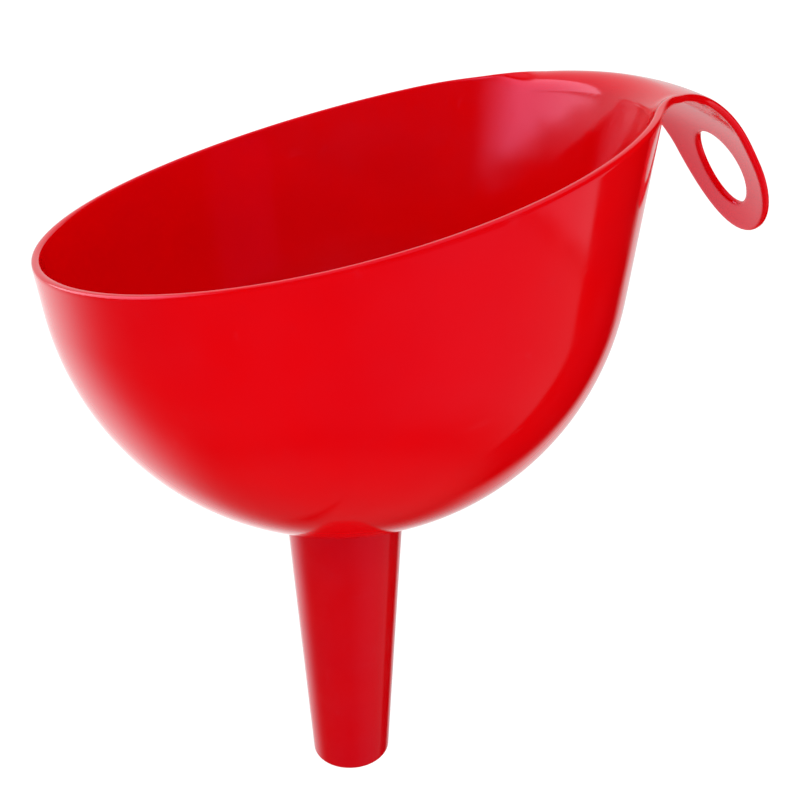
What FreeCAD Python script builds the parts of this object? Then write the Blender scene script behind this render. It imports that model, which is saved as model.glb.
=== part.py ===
import FreeCAD, Part
import Sketcher
import math
import os
from FreeCAD import Placement, Rotation, Vector

# Narrow-spout kitchen funnel: a round bowl whose inclined rim rolls over on one side into a
# hook handle with an oval hanging hole, and a tapered spout seated in the bowl's throat.
# Origin: centre of the spout outlet.  +Z up the spout axis, +X towards the hook.  Millimetres.

# Driving sizes: alias, value, meaning.  Heights called "rise" are above the bowl's equator.
SIZES = [
    ("bowl_radius", 60.0, "outer radius of the round bowl"),
    ("equator_height", 128.5, "height of the bowl's centre above the outlet"),
    ("wall", 1.7, "thickness of the bowl wall and of the hook"),
    ("draft_angle", 6.8, "outward lean of the wall above the round part, degrees"),
    ("lip_inset", 2.1, "how far inside bowl_radius the rim starts to level off"),
    ("lip_rise", 31.9, "rise of the rim where it starts to level off"),
    ("lip_angle", 15.8, "uphill angle of the rim there, degrees"),
    ("lip_radius", 18.2, "curve from the uphill rim to the level crest"),
    ("rim_sag_radius", 1835.0, "very slight hollow of the rim seen from the side"),
    ("lip_fillet", 2.5, "hollow corner under the lip"),
    ("hook_radius", 35.0, "radius of the rolled-over top of the hook"),
    ("hook_turn", 51.0, "how far the rolled-over top turns down from level, degrees"),
    ("tab_radius", 77.0, "gentle curve of the tab below it"),
    ("tab_turn", 20.6, "how much further the tab turns down to its tip, degrees"),
    ("tab_half_width", 14.6, "half the width of the tab where it is narrowest"),
    ("tip_length", 22.0, "length of the half-oval that ends the tab"),
    ("shoulder_radius", 64.6, "hollow curve from the rim into the tab, seen from above"),
    ("hole_half_width", 7.2, "half the width of the hanging hole"),
    ("hole_half_length", 10.1, "half the length of the hanging hole"),
    ("hole_turn", 13.0, "how far round the tab's curve the hole is above the tip, degrees"),
    ("spout_top_radius", 13.6, "outer radius of the spout under the bowl"),
    ("spout_tip_radius", 9.4, "outer radius of the spout at the outlet"),
    ("throat_ledge", 0.7, "width of the shoulder between the spout's outside and its spigot"),
    ("spigot_wall", 1.5, "thickness of the spigot that fills the throat"),
    ("outlet_wall", 1.6, "thickness of the spout at the outlet"),
    ("outlet_land", 5.0, "length of straight bore at the outlet"),
    ("tip_round", 0.7, "rounding of the outer edge of the outlet"),
]


class Dim:
    """A length or ratio that knows both its number and its expression on the sheet."""

    def __init__(self, number, text):
        self.number = number
        self.text = text

    def __add__(self, other):
        other = as_dim(other)
        return Dim(self.number + other.number, "(%s + %s)" % (self.text, other.text))

    def __sub__(self, other):
        other = as_dim(other)
        return Dim(self.number - other.number, "(%s - %s)" % (self.text, other.text))

    def __mul__(self, other):
        other = as_dim(other)
        return Dim(self.number * other.number, "(%s * %s)" % (self.text, other.text))

    def __truediv__(self, other):
        other = as_dim(other)
        return Dim(self.number / other.number, "(%s / %s)" % (self.text, other.text))

    def __neg__(self):
        return Dim(-self.number, "(0 - %s)" % self.text)


def as_dim(value):
    if isinstance(value, Dim):
        return value
    return Dim(float(value), "%.6f" % value)


def root(square):
    return Dim(math.sqrt(square.number), "sqrt(%s)" % square.text)


def sine(angle):
    return Dim(math.sin(math.radians(angle.number)), "sin(%s)" % angle.text)


def cosine(angle):
    return Dim(math.cos(math.radians(angle.number)), "cos(%s)" % angle.text)


def side_of(slant, other_side):
    """The third side of a right triangle."""
    return root(slant * slant - other_side * other_side)


doc = FreeCAD.newDocument("Funnel")
sheet = doc.addObject("Spreadsheet::Sheet", "Sizes")
size = {}
for row, (alias, value, meaning) in enumerate(SIZES, start=1):
    sheet.set("A%d" % row, alias)
    sheet.set("B%d" % row, str(value))
    sheet.set("C%d" % row, meaning)
    sheet.setAlias("B%d" % row, alias)
    size[alias] = Dim(value, "Sizes.%s" % alias)
doc.recompute()

UPRIGHT = Rotation(Vector(1, 0, 0), 90)      # outline drawn in the X-Z plane
LEVEL = Rotation(Vector(0, 0, 1), 0)         # outline drawn in the X-Y plane
LEFT = 1                                     # arc that turns left along the outline
RIGHT = -1                                   # arc that turns right along the outline


def outline(label, rotation, corners, arcs, owner=doc):
    """A closed sketch through the corners.  arcs maps a corner's number to the (radius, turn)
    of the arc that leaves it; every other side is straight.  Each corner and each radius is
    bound to the sheet."""
    if owner is doc:
        sketch = doc.addObject("Sketcher::SketchObject", label)
    else:
        sketch = owner.newObject("Sketcher::SketchObject", label)
    sketch.Placement = Placement(Vector(0, 0, 0), rotation)
    first_ends = []
    last_ends = []
    for number, corner in enumerate(corners):
        following = corners[(number + 1) % len(corners)]
        start = Vector(corner[0].number, corner[1].number, 0)
        finish = Vector(following[0].number, following[1].number, 0)
        if number not in arcs:
            sketch.addGeometry(Part.LineSegment(start, finish))
            first_ends.append(1)
            last_ends.append(2)
            continue
        radius, turn = arcs[number]
        span = finish - start
        leftwards = Vector(-span.y, span.x, 0).normalize()
        reach = math.sqrt(radius.number ** 2 - (span.Length / 2) ** 2)
        centre = (start + finish) * 0.5 + leftwards * (reach * turn)
        opening, closing = (start, finish) if turn == LEFT else (finish, start)
        angle_open = math.atan2(opening.y - centre.y, opening.x - centre.x)
        angle_close = math.atan2(closing.y - centre.y, closing.x - centre.x)
        if angle_close < angle_open:
            angle_close += 2 * math.pi
        circle = Part.Circle(centre, Vector(0, 0, 1), radius.number)
        sketch.addGeometry(Part.ArcOfCircle(circle, angle_open, angle_close))
        first_ends.append(1 if turn == LEFT else 2)
        last_ends.append(2 if turn == LEFT else 1)
    total = len(corners)
    for number in range(total):
        following = (number + 1) % total
        sketch.addConstraint(Sketcher.Constraint(
            "Coincident", number, last_ends[number], following, first_ends[following]))
    for number, corner in enumerate(corners):
        end = first_ends[number]
        for direction, place in (("DistanceX", corner[0]), ("DistanceY", corner[1])):
            index = sketch.addConstraint(Sketcher.Constraint(
                direction, -1, 1, number, end, place.number))
            sketch.setExpression("Constraints[%d]" % index, place.text)
        if number in arcs:
            radius = arcs[number][0]
            index = sketch.addConstraint(Sketcher.Constraint("Radius", number, radius.number))
            sketch.setExpression("Constraints[%d]" % index, radius.text)
    return sketch


def extruded(label, sketch, length):
    """The outline pushed equally to both sides of its plane."""
    solid = doc.addObject("Part::Extrusion", label)
    solid.Base = sketch
    solid.DirMode = "Normal"
    solid.Solid = True
    solid.Symmetric = True
    solid.FaceMakerClass = "Part::FaceMakerBullseye"
    solid.setExpression("LengthFwd", length.text)
    return solid


def revolved(label, sketch):
    """The outline turned once round the spout axis."""
    solid = doc.addObject("Part::Revolution", label)
    solid.Source = sketch
    solid.Axis = Vector(0, 0, 1)
    solid.Base = Vector(0, 0, 0)
    solid.Angle = 360.0
    solid.Solid = True
    solid.FaceMakerClass = "Part::FaceMakerBullseye"
    return solid


def oval_prism(label, major, minor, centre_x, centre_z, depth):
    """An oval cylinder standing square to the tab at the hole, long axis down the tab."""
    oval = doc.addObject("Part::Ellipse", label + "_oval")
    oval.MajorRadius = major.number
    oval.MinorRadius = minor.number
    oval.setExpression("MajorRadius", major.text)
    oval.setExpression("MinorRadius", minor.text)
    oval.Placement = Placement(Vector(centre_x.number, 0, centre_z.number),
                               Rotation(Vector(0, 1, 0), hole_slope.number))
    oval.setExpression("Placement.Base.x", centre_x.text)
    oval.setExpression("Placement.Base.z", centre_z.text)
    oval.setExpression("Placement.Rotation.Angle", hole_slope.text)
    return extruded(label, oval, depth)


# Sizes that follow from the driving ones.
radius = size["bowl_radius"]
wall = size["wall"]
inner_radius = radius - wall
equator = size["equator_height"]
draft = size["draft_angle"]
throat = size["spout_top_radius"] - size["throat_ledge"]

# Side view of the hook: level off to the crest, roll over to the bend, curve to the tip.
start_x = radius - size["lip_inset"]
start_z = equator + size["lip_rise"]
crest_x = start_x + size["lip_radius"] * sine(size["lip_angle"])
lip_z = start_z - size["lip_radius"] * cosine(size["lip_angle"])
crest = lip_z + size["lip_radius"]
hook_z = crest - size["hook_radius"]
bend_slope = size["hook_turn"]
bend_x = crest_x + size["hook_radius"] * sine(bend_slope)
bend_z = hook_z + size["hook_radius"] * cosine(bend_slope)
tab_x = bend_x - size["tab_radius"] * sine(bend_slope)
tab_z = bend_z - size["tab_radius"] * cosine(bend_slope)
tip_slope = bend_slope + size["tab_turn"]
tip_x = tab_x + size["tab_radius"] * sine(tip_slope)
tip_z = tab_z + size["tab_radius"] * cosine(tip_slope)
hole_slope = tip_slope - size["hole_turn"]
along_x = cosine(hole_slope)                 # unit direction down the tab at the hole
along_z = -sine(hole_slope)
square_x = sine(hole_slope)                  # unit direction out of the tab's face there
square_z = cosine(hole_slope)

# Bowl wall: round part, leaning wall, then a small outward roll that meets the hook.
roll_radius = size["lip_fillet"] + wall
roll_z = crest - roll_radius
lean = sine(draft) / cosine(draft)
cone_x = radius * cosine(draft)
cone_z = equator - radius * sine(draft)
flare_z = roll_z + size["lip_fillet"] * sine(draft)
flare_x = cone_x + (flare_z - cone_z) * lean
roll_x = flare_x + size["lip_fillet"] * cosine(draft)
inner_flare = (roll_x - roll_radius * cosine(draft), roll_z + roll_radius * sine(draft))
inner_cone = (inner_radius * cosine(draft), equator - inner_radius * sine(draft))
wall_corners = [
    (throat, equator - side_of(radius, throat)),
    (cone_x, cone_z),
    (flare_x, flare_z),
    (roll_x, roll_z + size["lip_fillet"]),
    (roll_x, crest),
    inner_flare,
    inner_cone,
    (throat, equator - side_of(inner_radius, throat)),
]
wall_arcs = {0: (radius, LEFT), 2: (size["lip_fillet"], RIGHT),
             4: (roll_radius, LEFT), 6: (inner_radius, RIGHT)}
wall_outline = outline("bowl_wall_outline", UPRIGHT, wall_corners, wall_arcs)
bowl_wall = revolved("bowl_wall", wall_outline)

# The space inside the bowl, carried on above the rim.
headroom = crest + 30
axis = radius * 0
cavity_corners = [
    (axis, equator - inner_radius),
    inner_cone,
    inner_flare,
    (roll_x, crest),
    (roll_x, headroom),
    (axis, headroom),
]
cavity_arcs = {0: (inner_radius, LEFT), 2: (roll_radius, RIGHT)}
cavity = revolved("cavity", outline("cavity_outline", UPRIGHT, cavity_corners, cavity_arcs))

# Everything above the inclined rim and the top of the hook.
sag_x = start_x - size["rim_sag_radius"] * sine(size["lip_angle"])
sag_z = start_z + size["rim_sag_radius"] * cosine(size["lip_angle"])
far_x = -(radius + 20)
above_rim_corners = [
    (far_x, sag_z - side_of(size["rim_sag_radius"], far_x - sag_x)),
    (start_x, start_z),
    (crest_x, crest),
    (bend_x, bend_z),
    (bend_x, headroom),
    (far_x, headroom),
]
above_rim_arcs = {0: (size["rim_sag_radius"], LEFT), 1: (size["lip_radius"], RIGHT),
                  2: (size["hook_radius"], RIGHT)}
above_rim_outline = outline("above_rim_outline", UPRIGHT, above_rim_corners, above_rim_arcs)
above_rim = extruded("above_rim", above_rim_outline, radius * 2 + 60)

bowl_open = doc.addObject("Part::Cut", "bowl_open")
bowl_open.Base = bowl_wall
bowl_open.Tool = above_rim

# Hook: a strip of wall thickness that follows the three curves of the side view.
strip_corners = [
    (start_x, start_z),
    (crest_x, crest),
    (bend_x, bend_z),
    (tip_x, tip_z),
    (tip_x - wall * sine(tip_slope), tip_z - wall * cosine(tip_slope)),
    (bend_x - wall * sine(bend_slope), bend_z - wall * cosine(bend_slope)),
    (crest_x, crest - wall),
    (start_x + wall * sine(size["lip_angle"]), start_z - wall * cosine(size["lip_angle"])),
]
strip_arcs = {0: (size["lip_radius"], RIGHT), 1: (size["hook_radius"], RIGHT),
              2: (size["tab_radius"], RIGHT), 4: (size["tab_radius"] - wall, LEFT),
              5: (size["hook_radius"] - wall, LEFT), 6: (size["lip_radius"] - wall, LEFT)}
hook_strip = extruded("hook_strip", outline("hook_outline", UPRIGHT, strip_corners, strip_arcs),
                      radius * 2)

# Seen from above the strip narrows through a hollow shoulder on each side into the tab.
rim_circle = roll_x
shoulder = size["shoulder_radius"]
half_width = size["tab_half_width"]
shoulder_y = half_width + shoulder
shoulder_x = side_of(rim_circle + shoulder, shoulder_y)
share = rim_circle / (rim_circle + shoulder)
past_tip = tip_x + 10
plan_corners = [
    (shoulder_x * share, shoulder_y * share),
    (shoulder_x, half_width),
    (past_tip, half_width),
    (past_tip, -half_width),
    (shoulder_x, -half_width),
    (shoulder_x * share, -shoulder_y * share),
]
plan_arcs = {0: (shoulder, LEFT), 4: (shoulder, LEFT)}
plan = extruded("hook_plan", outline("hook_plan_outline", LEVEL, plan_corners, plan_arcs),
                equator * 2 + 200)

# Seen square to the tab its end is a half oval, as wide as the tab is where it begins.
tip_centre_x = tip_x - size["tip_length"] * along_x
tip_centre_z = tip_z - size["tip_length"] * along_z
tip_half_width = shoulder_y - side_of(shoulder, shoulder_x - tip_centre_x)
tip_oval = oval_prism("tip_prism", size["tip_length"], tip_half_width,
                      tip_centre_x, tip_centre_z, radius)
above_tip = doc.addObject("Part::Box", "above_tip")
above_tip.setExpression("Length", (radius * 4).text)
above_tip.setExpression("Width", (radius * 2).text)
above_tip.setExpression("Height", (radius * 4).text)
box_x = tip_centre_x - along_x * radius * 4 - square_x * radius * 2
box_z = tip_centre_z - along_z * radius * 4 - square_z * radius * 2
above_tip.Placement = Placement(Vector(box_x.number, -radius.number, box_z.number),
                                Rotation(Vector(0, 1, 0), hole_slope.number))
above_tip.setExpression("Placement.Base.x", box_x.text)
above_tip.setExpression("Placement.Base.y", (-radius).text)
above_tip.setExpression("Placement.Base.z", box_z.text)
above_tip.setExpression("Placement.Rotation.Angle", hole_slope.text)
tab_end = doc.addObject("Part::MultiFuse", "tab_end")
tab_end.Shapes = [above_tip, tip_oval]

hook_trimmed = doc.addObject("Part::MultiCommon", "hook_trimmed")
hook_trimmed.Shapes = [hook_strip, plan, tab_end]
hook = doc.addObject("Part::Cut", "hook")
hook.Base = hook_trimmed
hook.Tool = cavity

bowl_and_hook = doc.addObject("Part::MultiFuse", "bowl_and_hook")
bowl_and_hook.Shapes = [bowl_open, hook]
bowl_and_hook.Refine = True

# Oval hanging hole, square through the tab.
hole_x = tab_x + (size["tab_radius"] - wall * 0.5) * square_x
hole_z = tab_z + (size["tab_radius"] - wall * 0.5) * square_z
hanging_hole = oval_prism("hanging_hole", size["hole_half_length"], size["hole_half_width"],
                          hole_x, hole_z, wall * 8)
bowl = doc.addObject("Part::Cut", "bowl_solid")
bowl.Label = "bowl"
bowl.Base = bowl_and_hook
bowl.Tool = hanging_hole
bowl.Placement = Placement(Vector(0, 0, 0), Rotation())

# Spout: tapered tube with a shoulder that follows the bowl's underside and a spigot that
# fills the throat and finishes flush with the inside of the bowl.
spout = doc.addObject("PartDesign::Body", "spout_body")
spout.Label = "spout"
spout.Placement = Placement(Vector(0, 0, 0), Rotation())
shoulder_z = equator - side_of(radius, size["spout_top_radius"])
tip_radius = size["spout_tip_radius"]
outlet_bore = tip_radius - size["outlet_wall"]
spigot_bore = throat - size["spigot_wall"]
spout_corners = [
    (outlet_bore, axis),
    (tip_radius - size["tip_round"], axis),
    (tip_radius, size["tip_round"]),
    (size["spout_top_radius"], shoulder_z),
    (throat, equator - side_of(radius, throat)),
    (throat, equator - side_of(inner_radius, throat)),
    (spigot_bore, equator - side_of(inner_radius, spigot_bore)),
    (spigot_bore, shoulder_z),
    (outlet_bore, size["outlet_land"]),
]
spout_arcs = {1: (size["tip_round"], LEFT), 3: (radius, RIGHT), 5: (inner_radius, RIGHT)}
spout_outline = outline("spout_outline", UPRIGHT, spout_corners, spout_arcs, spout)
spout_turned = spout.newObject("PartDesign::Revolution", "spout_turned")
spout_turned.Profile = spout_outline
spout_turned.ReferenceAxis = (spout_outline, ["V_Axis"])
spout_turned.Angle = 360.0

doc.recompute()

NODES = {"bowl": bowl, "spout": spout}
faults = []
for item in doc.Objects:
    if "Invalid" in item.State or "Error" in item.State:
        faults.append("%s: %s" % (item.Name, item.State))
for node, item in NODES.items():
    if item.Shape.isNull() or not item.Shape.isValid() or len(item.Shape.Solids) != 1:
        faults.append("%s: not one sound solid" % node)
if faults:
    raise RuntimeError("; ".join(faults))

os.makedirs("parts", exist_ok=True)
for node, item in NODES.items():
    item.Shape.exportStep("parts/%s.step" % node)
    box = item.Shape.BoundBox
    print("%s: %.0f mm3, X %.1f..%.1f Y %.1f..%.1f Z %.1f..%.1f" % (
        node, item.Shape.Volume, box.XMin, box.XMax, box.YMin, box.YMax, box.ZMin, box.ZMax))
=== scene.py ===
import math

import bmesh
import bpy
import numpy as np
from mathutils import Matrix, Vector


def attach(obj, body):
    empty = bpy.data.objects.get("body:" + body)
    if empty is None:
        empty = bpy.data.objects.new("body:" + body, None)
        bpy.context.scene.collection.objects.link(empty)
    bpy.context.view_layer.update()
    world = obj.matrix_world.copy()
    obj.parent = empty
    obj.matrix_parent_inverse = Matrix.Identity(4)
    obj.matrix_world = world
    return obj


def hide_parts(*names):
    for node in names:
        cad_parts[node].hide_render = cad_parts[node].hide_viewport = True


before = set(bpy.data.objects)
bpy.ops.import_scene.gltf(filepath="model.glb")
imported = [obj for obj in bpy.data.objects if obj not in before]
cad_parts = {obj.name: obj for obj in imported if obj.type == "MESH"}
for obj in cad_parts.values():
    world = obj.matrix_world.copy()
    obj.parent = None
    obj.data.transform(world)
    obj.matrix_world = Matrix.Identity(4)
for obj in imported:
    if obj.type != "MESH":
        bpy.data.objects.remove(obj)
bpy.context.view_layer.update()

MM = 0.001

# ---------------------------------------------------------------- sizes, in millimetres
# Heights are above the spout outlet, +X points to the hook.  The bowl and hook are built
# as a middle surface that is thickened at the end, so most sizes are cut by half a wall.
WALL = 1.7
HALF = WALL / 2
BOWL_RADIUS = 60.0
EQUATOR = 128.5
DRAFT = math.radians(6.8)            # outward lean of the wall above the round part
THROAT = 13.0
RIM_START_X = 57.9                   # where the uphill rim begins to level off
RIM_START_Z = EQUATOR + 31.9
RIM_SLOPE = math.radians(15.8)
RIM_SAG_RADIUS = 1835.0              # the rim sags a little between its two ends
RIM_RUN_LENGTH = 125.0               # how much of the rim the side view covers
# The hook's three curves in the side view: radius of the top face, and turn downwards.
HOOK_CURVES = [(18.2, math.radians(15.8)), (35.0, math.radians(51.0)),
               (77.0, math.radians(20.6))]
DROOP_FULL = 38.0                    # the lip droops outwards fully this near its centre line
DROOP_NONE = 50.0                    # and not at all this far from it
PLAIN_RIM_X = 20.0                   # short of this the rim is plain and has no lip
LIP_ROLL = 4.2                       # roll from the wall into the lip
SHOULDER_RADIUS = 64.6
TAB_HALF_WIDTH = 14.6
TIP_LENGTH = 22.0
HOLE_HALF_WIDTH = 7.2
HOLE_HALF_LENGTH = 10.1
HOLE_FROM_TIP = 17.5
HOLE_MARGIN = 1.4                    # sheet left between the hole and the plain grid
SPOUT_TOP_RADIUS = 13.6
SPOUT_TIP_RADIUS = 9.4
SPIGOT_RADIUS = 12.9
SPIGOT_BORE = 11.4
OUTLET_BORE = 7.8
OUTLET_LAND = 5.0
OUTLET_ROUND = 0.7
BORE_ROUND = 0.25                    # small round on the inside corner of the outlet

# ---------------------------------------------------------------- mesh counts
RIM_COLUMNS = 150                    # columns of faces round the plain part of the rim
LIP_COLUMNS = 96                     # columns that run out over the hook, an even number
SIDE_STEP = 0.1                      # millimetres between points of the side view
LOW_ROWS = 40                        # rows from the throat to just under the rim
HIGH_ROWS = 66                       # rows from there to the edge
BELOW_RIM = 20.0                     # the upper rows start this many millimetres down
HOLE_RINGS = 7
EDGE_STEPS = 8                       # facets across a rounded edge
EDGE_POWER = 2.6                     # 2 is a round edge, higher is squarer
SPOUT_SIDES = 160
SPOUT_CORNER = 35                    # degrees of turn that are shaded as a corner

# ---------------------------------------------------------------- middle surface of the wall
MID_RADIUS = BOWL_RADIUS - HALF
ROUND_TOP = EQUATOR - MID_RADIUS * math.sin(DRAFT)
ROUND_LENGTH = MID_RADIUS * (math.pi / 2 - DRAFT)
UP = np.array([0.0, 0.0, 1.0])
OFF_SHEET = -99.0                    # stands for "not on the hook" in a list of places


def smooth_step(share):
    """Eases a share between 0 and 1 in and out."""
    return share * share * (3 - 2 * share)


def wall_point(along):
    """Distance from the axis and height, for distances up the wall from the pole."""
    polar = np.minimum(along, ROUND_LENGTH) / MID_RADIUS
    more = np.maximum(along - ROUND_LENGTH, 0.0)
    out = MID_RADIUS * np.sin(polar) + more * math.sin(DRAFT)
    up = EQUATOR - MID_RADIUS * np.cos(polar) + more * math.cos(DRAFT)
    return out, up


def wall_along(height):
    """Distance up the wall from the pole, for a height."""
    if height >= ROUND_TOP:
        return ROUND_LENGTH + (height - ROUND_TOP) / math.cos(DRAFT)
    return MID_RADIUS * math.acos((EQUATOR - height) / MID_RADIUS)


# ---------------------------------------------------------------- middle surface of the hook
def side_line():
    """Side view of the rim and hook: distance along, x and z, in fine steps.
    Distance is zero where the rim begins to level off, and negative along the rim."""
    step = SIDE_STEP
    rim_slopes = RIM_SLOPE - np.arange(step, RIM_RUN_LENGTH, step) / RIM_SAG_RADIUS
    parts = [rim_slopes[::-1], np.array([RIM_SLOPE])]
    for radius, turn in HOOK_CURVES:
        count = round((radius - HALF) * turn / step)
        parts.append(parts[-1][-1] - np.linspace(0, turn, count + 1)[1:])
    slopes = np.concatenate(parts)
    start = len(rim_slopes)
    middle = (slopes[1:] + slopes[:-1]) / 2
    x = np.concatenate([[0], np.cumsum(step * np.cos(middle))])
    z = np.concatenate([[0], np.cumsum(step * np.sin(middle))])
    x += RIM_START_X + HALF * math.sin(RIM_SLOPE) - x[start]
    z += RIM_START_Z - HALF * math.cos(RIM_SLOPE) - z[start]
    return step * np.arange(-start, len(slopes) - start), x, z


LINE_S, LINE_X, LINE_Z = side_line()
HOOK_LENGTH = float(LINE_S[-1]) - HALF        # the rounded edge adds the other half
RIM_RUN = np.array([math.cos(RIM_SLOPE), math.sin(RIM_SLOPE)])     # uphill along the rim
RIM_UP = np.array([-math.sin(RIM_SLOPE), math.cos(RIM_SLOPE)])     # square to the rim


def sheet_point(along, across):
    """A point of the rim or hook surface, by distance along it and off its centre line.
    The side view is turned about the line through the bowl's centre square to the rim, so
    the lip droops outwards all round."""
    along = np.asarray(along, float)
    across = np.asarray(across, float) + 0 * along
    x = np.interp(along, LINE_S, LINE_X)
    z = np.interp(along, LINE_S, LINE_Z) - EQUATOR
    run = x * RIM_RUN[0] + z * RIM_RUN[1]
    rise = x * RIM_UP[0] + z * RIM_UP[1]
    turned = run * np.sqrt(np.maximum(1 - (across / run) ** 2, 0.01))
    turned_x = turned * RIM_RUN[0] + rise * RIM_UP[0]
    turned_z = turned * RIM_RUN[1] + rise * RIM_UP[1] + EQUATOR
    flat_z = np.interp(turned_x, LINE_X, LINE_Z)
    level = np.clip((DROOP_NONE - np.abs(across)) / (DROOP_NONE - DROOP_FULL), 0, 1)
    level = np.where(along < 0, 0.0, smooth_step(level))
    return np.stack([turned_x, across, flat_z + (turned_z - flat_z) * level], -1)


SEARCH = np.linspace(-45.0, float(LINE_S[-1]), 900)


def along_over(x, across):
    """Distance along the sheet of the place that is over x at that distance off centre."""
    return float(np.interp(x, sheet_point(SEARCH, across)[:, 0], SEARCH))


def height_over(x, across):
    """Height of the rim or hook surface over a place seen from above."""
    if abs(across) >= DROOP_NONE or x < PLAIN_RIM_X:
        return float(np.interp(x, LINE_X, LINE_Z))
    return float(sheet_point(along_over(x, across), across)[2])


def wall_top_radius(angle):
    """Distance from the axis to the wall's edge, where the rim has no lip."""
    out = BOWL_RADIUS
    for _ in range(12):
        out = float(wall_point(wall_along(height_over(out * math.cos(angle),
                                                      out * math.sin(angle))))[0])
    return out


# ---------------------------------------------------------------- outline of the lip
# Seen from above: the rim's circle, a hollow shoulder, the side of the tab and its tip.
SIDE = TAB_HALF_WIDTH - HALF
SHOULDER = SHOULDER_RADIUS + HALF
SHOULDER_Y = SIDE + SHOULDER
lip_angle = 0.8                      # a first guess that the loop settles
for _ in range(20):
    rim_radius = wall_top_radius(lip_angle)
    SHOULDER_X = math.sqrt((rim_radius + SHOULDER) ** 2 - SHOULDER_Y ** 2)
    lip_angle = math.atan2(SHOULDER_Y, SHOULDER_X)
LIP_ANGLE = lip_angle                # the lip starts here, each side of +X


def shoulder_reach(angle):
    """Distance from the axis to the shoulder curve, at an angle round the axis."""
    towards = SHOULDER_X * math.cos(angle) + SHOULDER_Y * math.sin(angle)
    square = towards ** 2 - (SHOULDER_X ** 2 + SHOULDER_Y ** 2 - SHOULDER ** 2)
    return towards - math.sqrt(max(square, 0.0))


ROLL_REACH = LIP_ROLL * math.cos(DRAFT)      # how far out the roll goes when complete
full_angle = LIP_ANGLE
while shoulder_reach(full_angle) - wall_top_radius(full_angle) < ROLL_REACH:
    full_angle -= 0.002
FULL_ANGLE = full_angle              # inside this angle the roll is complete


def lip_outline():
    """The edge of the lip from the end of the complete roll to the tip, on the +Y side,
    as fine (along, across) places."""
    corner = shoulder_reach(FULL_ANGLE)
    opening = math.atan2(corner * math.sin(FULL_ANGLE) - SHOULDER_Y,
                         corner * math.cos(FULL_ANGLE) - SHOULDER_X)
    turns = np.linspace(opening, -math.pi / 2, 80)
    shoulder_x = SHOULDER_X + SHOULDER * np.cos(turns)
    shoulder_y = SHOULDER_Y + SHOULDER * np.sin(turns)
    shoulder_s = np.array([along_over(x, y) for x, y in zip(shoulder_x, shoulder_y)])
    tip_start = HOOK_LENGTH + HALF - TIP_LENGTH
    tip_width = float(np.interp(tip_start, shoulder_s, shoulder_y))
    kept = shoulder_s < tip_start - 0.5
    shoulder_s = shoulder_s[kept]
    shoulder_y = shoulder_y[kept]
    quarter = np.linspace(math.pi / 2, 0, 80)
    tip_s = tip_start + (TIP_LENGTH - HALF) * np.cos(quarter)
    tip_y = tip_width * np.sin(quarter)
    return np.stack([np.concatenate([shoulder_s, tip_s]),
                     np.concatenate([shoulder_y, tip_y])], -1)


def evenly(points, weights, count):
    """Parameters that split a fine line into count steps of equal weighted length."""
    lengths = np.linalg.norm(np.diff(points, axis=0), axis=1) * weights[1:]
    reached = np.concatenate([[0], np.cumsum(lengths)])
    return np.interp(np.linspace(0, reached[-1], count + 1), reached, np.arange(len(points)))


def take(values, parameters):
    """Values of a fine line at fractional positions along it."""
    steps = np.arange(len(values))
    return np.stack([np.interp(parameters, steps, values[:, k])
                     for k in range(values.shape[1])], -1)


# ---------------------------------------------------------------- columns of the shell
def column(angle, full_turn, target=None):
    """One line of the shell from the throat to the edge, as rows of points.
    It goes up the wall at an angle round the axis, rolls outwards until it leans by
    full_turn, and then, with a target, runs over the hook to that (along, across) place.
    Also returns the (along, across) of each row's point, for the rows on the hook."""
    sideways = np.array([math.cos(angle), math.sin(angle), 0.0])
    reach = LIP_ROLL * (math.cos(DRAFT) - math.cos(full_turn))
    rise = LIP_ROLL * (math.sin(full_turn) - math.sin(DRAFT))
    height = EQUATOR + 20.0
    for _ in range(25):
        out = float(wall_point(wall_along(height))[0]) + reach
        height = height_over(out * sideways[0], out * sideways[1]) - rise
    wall_end = wall_along(height)
    out_end = float(wall_point(wall_end)[0])
    pole = wall_along(EQUATOR - math.sqrt(MID_RADIUS ** 2 - THROAT ** 2))
    middle = wall_along(height_over(out_end * sideways[0], out_end * sideways[1]) - BELOW_RIM)
    out, up = wall_point(np.linspace(pole, middle, LOW_ROWS + 1)[:-1])
    low = out[:, None] * sideways + up[:, None] * UP

    out, up = wall_point(np.linspace(middle, wall_end, 120))
    high = [out[:, None] * sideways + up[:, None] * UP]
    weights = [np.ones(120)]
    if reach > 1e-6:
        lean = np.linspace(DRAFT, full_turn, 60)[1:]
        out = out_end + LIP_ROLL * (math.cos(DRAFT) - np.cos(lean))
        over = np.array([height_over(o * sideways[0], o * sideways[1]) for o in out])
        up = over - LIP_ROLL * (math.sin(full_turn) - np.sin(lean))
        high.append(out[:, None] * sideways + up[:, None] * UP)
        weights.append(np.full(59, 2.5))
    places = np.full((sum(len(part) for part in high), 2), OFF_SHEET)
    if target is not None:
        edge = (out_end + reach) * sideways
        start = np.array([along_over(edge[0], edge[1]), edge[1]])
        share = np.linspace(0, 1, 300)[1:, None]
        place = start * (1 - share) + np.array(target) * share
        high.append(sheet_point(place[:, 0], place[:, 1]))
        weights.append(np.ones(299))
        places = np.concatenate([places, place])
    high = np.concatenate(high)
    chosen = evenly(high, np.concatenate(weights), HIGH_ROWS)
    rows = np.concatenate([low, take(high, chosen)])
    row_places = np.concatenate([np.full((LOW_ROWS, 2), OFF_SHEET), take(places, chosen)])
    return rows, row_places


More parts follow.
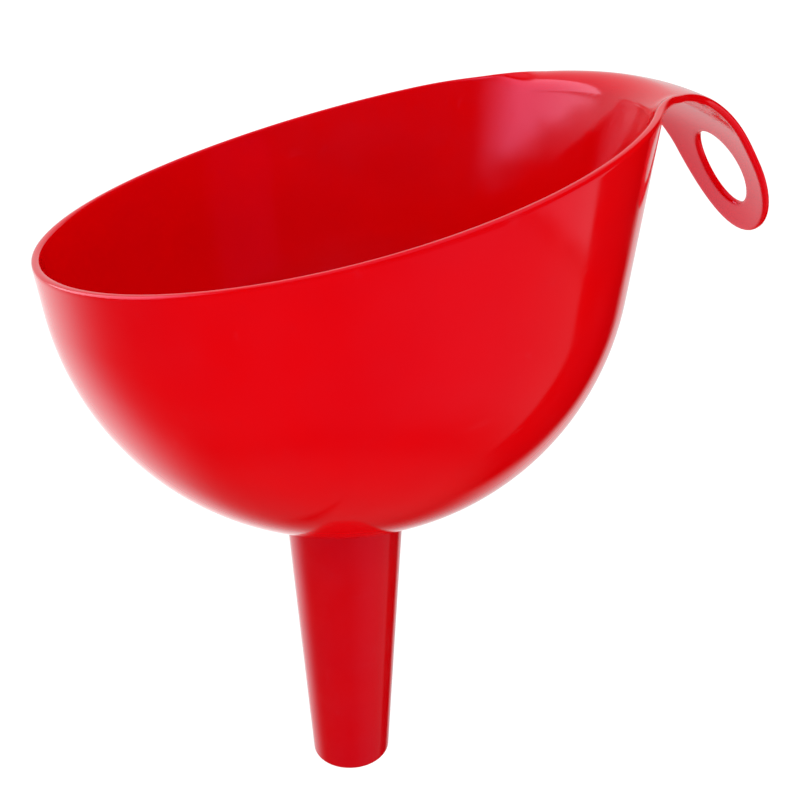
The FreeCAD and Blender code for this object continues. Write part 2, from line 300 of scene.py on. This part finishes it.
def lip_columns():
    """Columns on the +Y side of the lip, from its start to the middle of the tip."""
    outline = lip_outline()
    edge_length = np.linalg.norm(np.diff(outline, axis=0), axis=1).sum()
    opening_length = (LIP_ANGLE - FULL_ANGLE) * BOWL_RADIUS
    half = LIP_COLUMNS // 2
    opening = max(4, round(half * opening_length / (opening_length + edge_length)))
    columns = []
    for number in range(opening):
        angle = LIP_ANGLE + (FULL_ANGLE - LIP_ANGLE) * number / opening
        spare = shoulder_reach(angle) - wall_top_radius(angle)
        turn = math.acos(max(math.cos(DRAFT) - max(spare, 0.0) / LIP_ROLL, 0.0))
        columns.append(column(angle, turn))
    targets = take(outline, evenly(outline, np.ones(len(outline)), half - opening))
    for number, target in enumerate(targets):
        angle = FULL_ANGLE * (1 - number / (half - opening))
        columns.append(column(angle, math.pi / 2, target))
    return columns


# ---------------------------------------------------------------- mesh helpers
def grid_faces(first, second):
    """Quads between two equal rows of vertex numbers."""
    return [(first[k], first[k + 1], second[k + 1], second[k]) for k in range(len(first) - 1)]


def vertex_normals(points, faces):
    """Area-weighted vertex normals of a mesh of quads."""
    corners = points[faces]
    face_normals = np.cross(corners[:, 2] - corners[:, 0], corners[:, 3] - corners[:, 1])
    normals = np.zeros_like(points)
    for k in range(4):
        np.add.at(normals, faces[:, k], face_normals)
    return normals / np.linalg.norm(normals, axis=1)[:, None]


def mesh_object(name, points, faces, material):
    """A smooth-shaded object from points in millimetres."""
    mesh = bpy.data.meshes.new(name)
    mesh.from_pydata((np.asarray(points) * MM).tolist(), [], [list(f) for f in faces])
    mesh.validate()
    shape = bmesh.new()
    shape.from_mesh(mesh)
    bmesh.ops.recalc_face_normals(shape, faces=shape.faces)
    shape.to_mesh(mesh)
    shape.free()
    mesh.polygons.foreach_set("use_smooth", [True] * len(mesh.polygons))
    mesh.materials.append(material)
    mesh.update()
    piece = bpy.data.objects.new(name, mesh)
    bpy.context.scene.collection.objects.link(piece)
    return piece


def rounded_edge(points, normals, loop):
    """Rows of points that carry a closed boundary loop from the outer face to the inner.
    The loop runs with the surface on its left, seen against the normals."""
    middle = points[loop]
    up = normals[loop]
    ahead = np.roll(middle, -1, 0) - np.roll(middle, 1, 0)
    outward = np.cross(ahead, up)
    outward /= np.linalg.norm(outward, axis=1)[:, None]
    rows = []
    for step in range(1, EDGE_STEPS):
        turn = math.pi / 2 - math.pi * step / EDGE_STEPS
        push = abs(math.cos(turn)) ** (2 / EDGE_POWER)
        lift = math.copysign(abs(math.sin(turn)) ** (2 / EDGE_POWER), math.sin(turn))
        rows.append(middle + HALF * (outward * push + up * lift))
    return rows


# ---------------------------------------------------------------- bowl and hook
def hole_patch(points, places, index, faces_removed):
    """Rings of points from the ragged square cut in the sheet to the oval hole.
    Returns the new points and faces, and the loop round the hole."""
    left, right, low, high = faces_removed
    bottom = [index[c][low] for c in range(left, right)]
    side_a = [index[right][r] for r in range(low, high)]
    top = [index[c][high] for c in range(right, left, -1)]
    side_b = [index[left][r] for r in range(high, low, -1)]
    loop = bottom + side_a + top + side_b
    outer = places[loop]
    centre = np.array([HOOK_LENGTH + HALF - HOLE_FROM_TIP, 0.0])
    radii = np.array([HOLE_HALF_LENGTH + HALF, HOLE_HALF_WIDTH + HALF])
    direction = (outer - centre) / radii
    direction /= np.linalg.norm(direction, axis=1)[:, None]
    inner = centre + direction * radii
    rows = [loop]
    patch = []
    first_new = len(points)
    for ring in range(1, HOLE_RINGS + 1):
        share = ring / HOLE_RINGS
        place = outer * (1 - share) + inner * share
        patch.append(sheet_point(place[:, 0], place[:, 1]))
        rows.append(list(range(first_new + (ring - 1) * len(loop),
                               first_new + ring * len(loop))))
    faces = []
    for first, second in zip(rows, rows[1:]):
        faces += grid_faces(second + second[:1], first + first[:1])
    return np.concatenate(patch), faces, rows[-1]


def shell_grid():
    """All columns round the bowl as (rows of points, rows of places), and the number of the
    column in the middle of the hook."""
    side = lip_columns()
    mirror = np.array([1.0, -1.0, 1.0])
    middle = len(side) - 1
    columns = list(side)
    for rows, places in reversed(side[:middle]):
        columns.append((rows * mirror, places * mirror[:2]))
    span = 2 * (math.pi - LIP_ANGLE)
    for number in range(1, RIM_COLUMNS):
        angle = -LIP_ANGLE - span * number / RIM_COLUMNS
        columns.append(column(angle, DRAFT))
    return columns, middle


def hole_block(columns, middle):
    """The columns and rows between which the hole's patch takes the place of the grid."""
    centre = HOOK_LENGTH + HALF - HOLE_FROM_TIP
    clear = HALF + HOLE_MARGIN
    along = columns[middle][1][:, 0]
    low = int(np.max(np.nonzero(along < centre - HOLE_HALF_LENGTH - clear)[0]))
    high = int(np.min(np.nonzero(along > centre + HOLE_HALF_LENGTH + clear)[0]))
    middle_row = (low + high) // 2
    reach = 1
    while abs(columns[middle + reach][1][middle_row][1]) < HOLE_HALF_WIDTH + clear:
        reach += 1
    return middle - reach, middle + reach, low, high


def face_outward(points, normals, loop, inside):
    """Turns a boundary loop round if need be, so that its outward side is away from the
    surface.  inside holds a point on the surface side of each point of the loop."""
    edge = points[loop]
    ahead = np.roll(edge, -1, 0) - np.roll(edge, 1, 0)
    outward = np.cross(ahead, normals[loop])
    if (outward * (edge - inside)).sum() < 0:
        loop.reverse()


def thicken(points, faces, normals, edge_loops, open_loop):
    """A wall of even thickness from a middle surface: rounded along edge_loops and flat
    across open_loop."""
    count = len(points)
    solid = [points + normals * HALF, points - normals * HALF]
    solid_faces = faces.tolist() + (faces[:, ::-1] + count).tolist()
    total = 2 * count
    for loop in edge_loops:
        numbers = [list(loop)]
        for row in rounded_edge(points, normals, loop):
            solid.append(row)
            numbers.append(list(range(total, total + len(row))))
            total += len(row)
        numbers.append([number + count for number in loop])
        for first, second in zip(numbers, numbers[1:]):
            solid_faces += grid_faces(first + first[:1], second + second[:1])
    under = [number + count for number in open_loop]
    solid_faces += grid_faces(open_loop + open_loop[:1], under + under[:1])
    return np.concatenate(solid), solid_faces


def build_bowl(material):
    columns, middle = shell_grid()
    points = np.concatenate([rows for rows, places in columns])
    places = np.concatenate([places for rows, places in columns])
    index = np.arange(len(points)).reshape(len(columns), LOW_ROWS + HIGH_ROWS + 1)
    block = hole_block(columns, middle)
    left, right, low, high = block

    faces = []
    for number in range(len(columns)):
        following = (number + 1) % len(columns)
        strip = grid_faces(index[number].tolist(), index[following].tolist())
        if left <= number < right:
            strip = strip[:low] + strip[high:]
        faces += strip
    patch, patch_faces, hole_loop = hole_patch(points, places, index, block)
    points = np.concatenate([points, patch])
    faces = np.array(faces + patch_faces)

    # Vertices inside the removed block are dropped.
    used = np.unique(faces)
    renumber = np.full(len(points), -1)
    renumber[used] = np.arange(len(used))
    faces = renumber[faces]
    points = points[used]
    rim_loop = renumber[index[:, -1]].tolist()
    throat_loop = renumber[index[:, 0]].tolist()
    hole_loop = renumber[np.array(hole_loop)].tolist()

    normals = vertex_normals(points, faces)
    away = points - np.array([0.0, 0.0, EQUATOR])
    if (normals[throat_loop] * away[throat_loop]).sum() < 0:
        faces = faces[:, ::-1]
        normals = -normals
    face_outward(points, normals, rim_loop, points[renumber[index[:, -2]]])
    hole_edge = points[hole_loop]
    face_outward(points, normals, hole_loop, 2 * hole_edge - hole_edge.mean(0))
    solid, solid_faces = thicken(points, faces, normals, (rim_loop, hole_loop), throat_loop)
    return mesh_object("bowl_shell", solid, solid_faces, material)


# ---------------------------------------------------------------- spout
def arc_points(centre_x, centre_z, radius, first, last, count):
    """Points of an arc in the side view, angles in degrees from +X towards +Z."""
    turns = np.radians(np.linspace(first, last, count))
    return [(centre_x + radius * math.cos(t), centre_z + radius * math.sin(t)) for t in turns]


def straight(first, last, count):
    """Evenly spaced points between two places, without the last."""
    share = np.linspace(0, 1, count + 1)[:-1]
    return [(first[0] + (last[0] - first[0]) * k, first[1] + (last[1] - first[1]) * k)
            for k in share]


def sphere_height(radius, out):
    """Height of the bowl's underside or inside at a distance from the axis."""
    return EQUATOR - math.sqrt(radius ** 2 - out ** 2)


def build_spout(material):
    inner = BOWL_RADIUS - WALL
    shoulder_z = sphere_height(BOWL_RADIUS, SPOUT_TOP_RADIUS)
    seat = (SPIGOT_RADIUS, sphere_height(BOWL_RADIUS, SPIGOT_RADIUS))
    spigot_top = (SPIGOT_RADIUS, sphere_height(inner, SPIGOT_RADIUS))
    spigot_lip = (SPIGOT_BORE, sphere_height(inner, SPIGOT_BORE))
    line = arc_points(OUTLET_BORE + BORE_ROUND, BORE_ROUND, BORE_ROUND, 180, 270, 5)
    line += arc_points(SPOUT_TIP_RADIUS - OUTLET_ROUND, OUTLET_ROUND, OUTLET_ROUND, 270, 360, 9)
    line += straight(line[-1], (SPOUT_TOP_RADIUS, shoulder_z), 40)[1:]
    line += straight((SPOUT_TOP_RADIUS, shoulder_z), seat, 3)
    line += straight(seat, spigot_top, 4)
    line += straight(spigot_top, spigot_lip, 4)
    line += straight(spigot_lip, (SPIGOT_BORE, shoulder_z), 6)
    line += straight((SPIGOT_BORE, shoulder_z), (OUTLET_BORE, OUTLET_LAND), 30)
    line += straight((OUTLET_BORE, OUTLET_LAND), line[0], 8)
    turns = np.linspace(0, 2 * math.pi, SPOUT_SIDES, endpoint=False)
    line = np.array(line)
    points = np.stack([np.outer(np.cos(turns), line[:, 0]),
                       np.outer(np.sin(turns), line[:, 0]),
                       np.outer(np.ones(SPOUT_SIDES), line[:, 1])], -1).reshape(-1, 3)
    index = np.arange(SPOUT_SIDES * len(line)).reshape(SPOUT_SIDES, len(line))
    faces = []
    for number in range(SPOUT_SIDES):
        here = index[number].tolist()
        there = index[(number + 1) % SPOUT_SIDES].tolist()
        faces += [face[::-1] for face in grid_faces(here + here[:1], there + there[:1])]
    piece = mesh_object("spout_tube", points, faces, material)
    piece.data.set_sharp_from_angle(angle=math.radians(SPOUT_CORNER))
    return piece


# ---------------------------------------------------------------- materials
# Sizes of the patterns are in repeats per metre, and the depth of the relief is in metres.
PLASTIC_IOR = 1.5
GLOSS_TINT = (1.0, 0.36, 0.78, 1.0)
CLOUD_SCALE = 28.0
POLISH_SCALE = 95.0
RIPPLE_SCALE = 55.0
SKIN_SCALE = 1500.0
SKIN_SHARE = 0.02                    # depth of the skin texture, as a share of the ripple
SCUFF_SCALE = (40.0, 900.0, 260.0)   # stretched, so that the scuffs are long and thin
SCUFF_TURN = (0.4, 0.2, 0.9)         # radians
SCUFF_CUT = (0.66, 0.74)             # only the peaks of the noise are left as scuffs
SCUFF_ROUGHNESS = 0.10
RELIEF_DEPTH = 0.00012


def new_material(name):
    material = bpy.data.materials.new(name)
    material.use_nodes = True
    nodes = material.node_tree.nodes
    nodes.clear()
    output = nodes.new("ShaderNodeOutputMaterial")
    return material, nodes, material.node_tree.links, output


def noise(nodes, links, where, scale, detail):
    """A noise pattern.  Scale is in repeats per metre."""
    node = nodes.new("ShaderNodeTexNoise")
    node.inputs["Scale"].default_value = scale
    node.inputs["Detail"].default_value = detail
    node.inputs["Roughness"].default_value = 0.55
    links.new(where, node.inputs["Vector"])
    return node.outputs["Fac"]


def remap(nodes, links, value, low, high, to_low, to_high):
    """Stretches the range low to high over to_low to to_high, and stops at its ends."""
    node = nodes.new("ShaderNodeMapRange")
    node.inputs["From Min"].default_value = low
    node.inputs["From Max"].default_value = high
    node.inputs["To Min"].default_value = to_low
    node.inputs["To Max"].default_value = to_high
    links.new(value, node.inputs["Value"])
    return node.outputs["Result"]


def combine(nodes, links, first, second, operation):
    """Sum, product or the like of two values, each a plain number or a node's output."""
    node = nodes.new("ShaderNodeMath")
    node.operation = operation
    for socket, value in zip(node.inputs, (first, second)):
        if isinstance(value, float):
            socket.default_value = value
        else:
            links.new(value, socket)
    return node.outputs[0]


def moulded_plastic(name, bright, deep, gloss_low, gloss_high):
    """Glossy moulded plastic: cloudy pigment, uneven polish with hair-fine scuffs, the long
    ripple of a moulded wall and a very fine skin texture."""
    material, nodes, links, output = new_material(name)
    shader = nodes.new("ShaderNodeBsdfPrincipled")
    shader.inputs["IOR"].default_value = PLASTIC_IOR
    shader.inputs["Specular Tint"].default_value = GLOSS_TINT
    where = nodes.new("ShaderNodeTexCoord").outputs["Object"]

    cloud = noise(nodes, links, where, CLOUD_SCALE, 3.0)
    pigment = nodes.new("ShaderNodeMix")
    pigment.data_type = "RGBA"
    pigment.inputs["A"].default_value = bright
    pigment.inputs["B"].default_value = deep
    links.new(remap(nodes, links, cloud, 0.35, 0.65, 0.0, 1.0), pigment.inputs["Factor"])
    links.new(pigment.outputs["Result"], shader.inputs["Base Color"])

    # Scuffs: a stretched noise, cut off so that only thin streaks are left.
    stretch = nodes.new("ShaderNodeMapping")
    stretch.inputs["Scale"].default_value = SCUFF_SCALE
    stretch.inputs["Rotation"].default_value = SCUFF_TURN
    links.new(where, stretch.inputs["Vector"])
    streaks = noise(nodes, links, stretch.outputs["Vector"], 1.0, 2.0)
    scuffs = remap(nodes, links, streaks, *SCUFF_CUT, 0.0, SCUFF_ROUGHNESS)
    polish = noise(nodes, links, where, POLISH_SCALE, 4.0)
    even = remap(nodes, links, polish, 0.3, 0.7, gloss_low, gloss_high)
    links.new(combine(nodes, links, even, scuffs, "ADD"), shader.inputs["Roughness"])

    ripple = noise(nodes, links, where, RIPPLE_SCALE, 1.0)
    skin = noise(nodes, links, where, SKIN_SCALE, 2.0)
    fine = combine(nodes, links, skin, SKIN_SHARE, "MULTIPLY")
    relief = combine(nodes, links, ripple, fine, "ADD")
    bump = nodes.new("ShaderNodeBump")
    bump.inputs["Strength"].default_value = 1.0
    bump.inputs["Distance"].default_value = RELIEF_DEPTH
    links.new(relief, bump.inputs["Height"])
    links.new(bump.outputs["Normal"], shader.inputs["Normal"])
    links.new(shader.outputs["BSDF"], output.inputs["Surface"])
    return material


BOWL_RED = moulded_plastic("bowl_red_plastic", (0.70, 0.0, 0.001, 1), (0.66, 0.0, 0.002, 1),
                           0.06, 0.12)
SPOUT_RED = moulded_plastic("spout_red_plastic", (0.56, 0.0, 0.001, 1), (0.52, 0.0, 0.003, 1),
                            0.10, 0.18)

# ---------------------------------------------------------------- the object
bowl = build_bowl(BOWL_RED)
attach(bowl, "root")
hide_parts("bowl")
spout = build_spout(SPOUT_RED)
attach(spout, "root")
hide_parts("spout")
for node_name, finish in (("bowl", BOWL_RED), ("spout", SPOUT_RED)):
    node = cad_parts[node_name]
    node.data.materials.clear()
    node.data.materials.append(finish)


# ---------------------------------------------------------------- studio
def glow_material():
    """Shines as strongly as the mesh's own "glow" value says.  It is clear as well, so
    patches that lie behind one another add up."""
    material, nodes, links, output = new_material("softbox_glow")
    emission = nodes.new("ShaderNodeEmission")
    level = nodes.new("ShaderNodeAttribute")
    level.attribute_name = "glow"
    links.new(level.outputs["Fac"], emission.inputs["Strength"])
    clear = nodes.new("ShaderNodeBsdfTransparent")
    both = nodes.new("ShaderNodeAddShader")
    links.new(emission.outputs["Emission"], both.inputs[0])
    links.new(clear.outputs["BSDF"], both.inputs[1])
    links.new(both.outputs["Shader"], output.inputs["Surface"])
    material.cycles.emission_sampling = "NONE"
    return material


GLOW = glow_material()
STUDIO_RADIUS = 3.0                  # metres
STUDIO_GAP = 0.05                    # metres from one patch's dome to the next
SOFTBOX_STEPS = 48
SOFTBOXES = []


def softbox(name, azimuths, elevations, brightness, soft):
    """A glowing patch of a large dome that shows only in reflections.  Azimuth 0 is -Y and
    90 is +X, in degrees.  soft gives the fade, in degrees, at the low-azimuth,
    high-azimuth, low-elevation and high-elevation edges."""
    steps = SOFTBOX_STEPS
    turn = np.linspace(azimuths[0], azimuths[1], steps + 1)
    rise = np.linspace(elevations[0], elevations[1], steps + 1)
    turn_grid, rise_grid = np.meshgrid(np.radians(turn), np.radians(rise))
    points = np.stack([np.sin(turn_grid) * np.cos(rise_grid),
                       -np.cos(turn_grid) * np.cos(rise_grid),
                       np.sin(rise_grid)], -1).reshape(-1, 3)
    points *= STUDIO_RADIUS + STUDIO_GAP * len(SOFTBOXES)
    fades = [np.clip((turn - azimuths[0]) / soft[0], 0, 1),
             np.clip((azimuths[1] - turn) / soft[1], 0, 1),
             np.clip((rise - elevations[0]) / soft[2], 0, 1),
             np.clip((elevations[1] - rise) / soft[3], 0, 1)]
    across = smooth_step(fades[0] * fades[1])
    along = smooth_step(fades[2] * fades[3])
    glow = brightness * np.outer(along, across).ravel()
    faces = []
    for row in range(steps):
        first = row * (steps + 1)
        here = list(range(first, first + steps + 1))
        faces += grid_faces(here, [number + steps + 1 for number in here])
    mesh = bpy.data.meshes.new(name)
    mesh.from_pydata(points.tolist(), [], faces)
    attribute = mesh.attributes.new("glow", "FLOAT", "POINT")
    attribute.data.foreach_set("value", glow.astype(np.float32))
    mesh.materials.append(GLOW)
    patch = bpy.data.objects.new(name, mesh)
    bpy.context.scene.collection.objects.link(patch)
    patch.location = (0, 0, EQUATOR * MM)
    patch.visible_camera = False
    patch.visible_diffuse = False
    patch.visible_shadow = False
    patch.visible_transmission = False
    SOFTBOXES.append(patch)


softbox("front_fill", (-215, 60), (-62, 0), 0.07, (60, 60, 14, 10))
softbox("below", (-180, 180), (-89.9, -50), 0.1, (0.1, 0.1, 0.1, 22))
softbox("left_low", (-215, -95), (-70, 0), 0.3, (25, 45, 25, 8))
softbox("right_box", (-20, 86), (-62, -22), 0.26, (60, 1.5, 25, 1.0))
softbox("right_box_top", (40, 86), (-22, 0), 0.6, (25, 1.5, 1.0, 5))
softbox("back_wall", (120, 250), (-60, 60), 0.8, (10, 40, 25, 20))
softbox("left_box", (-146, -78), (1.5, 50), 3.2, (3, 25, 0.8, 10))
softbox("overhead", (-180, 180), (50, 89.9), 0.6, (0.1, 0.1, 10, 0.1))


def floor_material():
    material, nodes, links, output = new_material("pale_floor")
    shader = nodes.new("ShaderNodeBsdfPrincipled")
    shader.inputs["Roughness"].default_value = 0.9
    shader.inputs["Specular IOR Level"].default_value = 0.0
    where = nodes.new("ShaderNodeTexCoord").outputs["Object"]
    mottle = noise(nodes, links, where, 3.0, 3.0)
    tone = nodes.new("ShaderNodeMix")
    tone.data_type = "RGBA"
    tone.inputs["A"].default_value = (0.95, 0.95, 0.95, 1)
    tone.inputs["B"].default_value = (0.94, 0.94, 0.94, 1)
    links.new(mottle, tone.inputs["Factor"])
    links.new(tone.outputs["Result"], shader.inputs["Base Color"])
    links.new(shader.outputs["BSDF"], output.inputs["Surface"])
    return material


FLOOR_DROP = 0.12                    # metres below the spout's outlet
FLOOR_HALF_SIZE = 60.0               # metres
mesh = bpy.data.meshes.new("floor")
corners = [(-1, -1), (1, -1), (1, 1), (-1, 1)]
mesh.from_pydata([(x * FLOOR_HALF_SIZE, y * FLOOR_HALF_SIZE, 0) for x, y in corners], [],
                 [(0, 1, 2, 3)])
mesh.materials.append(floor_material())
floor = bpy.data.objects.new("floor", mesh)
floor.location = (0, 0, -FLOOR_DROP)
bpy.context.scene.collection.objects.link(floor)
floor.visible_glossy = False

ROOM_LIGHT = 1.22
world = bpy.data.worlds.new("studio")
bpy.context.scene.world = world
world.use_nodes = True
background = world.node_tree.nodes["Background"]
background.inputs["Color"].default_value = (1.0, 1.0, 1.0, 1)
background.inputs["Strength"].default_value = ROOM_LIGHT
world.cycles_visibility.glossy = False
bpy.context.scene.view_settings.view_transform = "Standard"

# ---------------------------------------------------------------- camera
# Placed by where it stands, how far it is turned from +Y towards +X, and its tilt down.
CAMERA_PLACE = Vector((-0.0643, -0.2087, 0.1835))
CAMERA_TURN = math.radians(20.5)
CAMERA_TILT = math.radians(22.27)
CAMERA_ROLL = math.radians(0.33)
LENS_LENGTH = 48.03                  # millimetres, with a sensor 36 mm wide
level_right = Vector((math.cos(CAMERA_TURN), -math.sin(CAMERA_TURN), 0))
level_ahead = Vector((math.sin(CAMERA_TURN), math.cos(CAMERA_TURN), 0))
upright = Vector((0, 0, 1))
ahead = math.cos(CAMERA_TILT) * level_ahead - math.sin(CAMERA_TILT) * upright
above = math.sin(CAMERA_TILT) * level_ahead + math.cos(CAMERA_TILT) * upright
right = math.cos(CAMERA_ROLL) * level_right - math.sin(CAMERA_ROLL) * above
above = math.sin(CAMERA_ROLL) * level_right + math.cos(CAMERA_ROLL) * above
lens = bpy.data.cameras.new("camera")
lens.lens = LENS_LENGTH
lens.sensor_width = 36
lens.clip_start = 0.01
camera = bpy.data.objects.new("camera", lens)
bpy.context.scene.collection.objects.link(camera)
facing = Matrix((right, above, -ahead)).transposed().to_4x4()
facing.translation = CAMERA_PLACE
camera.matrix_world = facing
bpy.context.scene.camera = camera
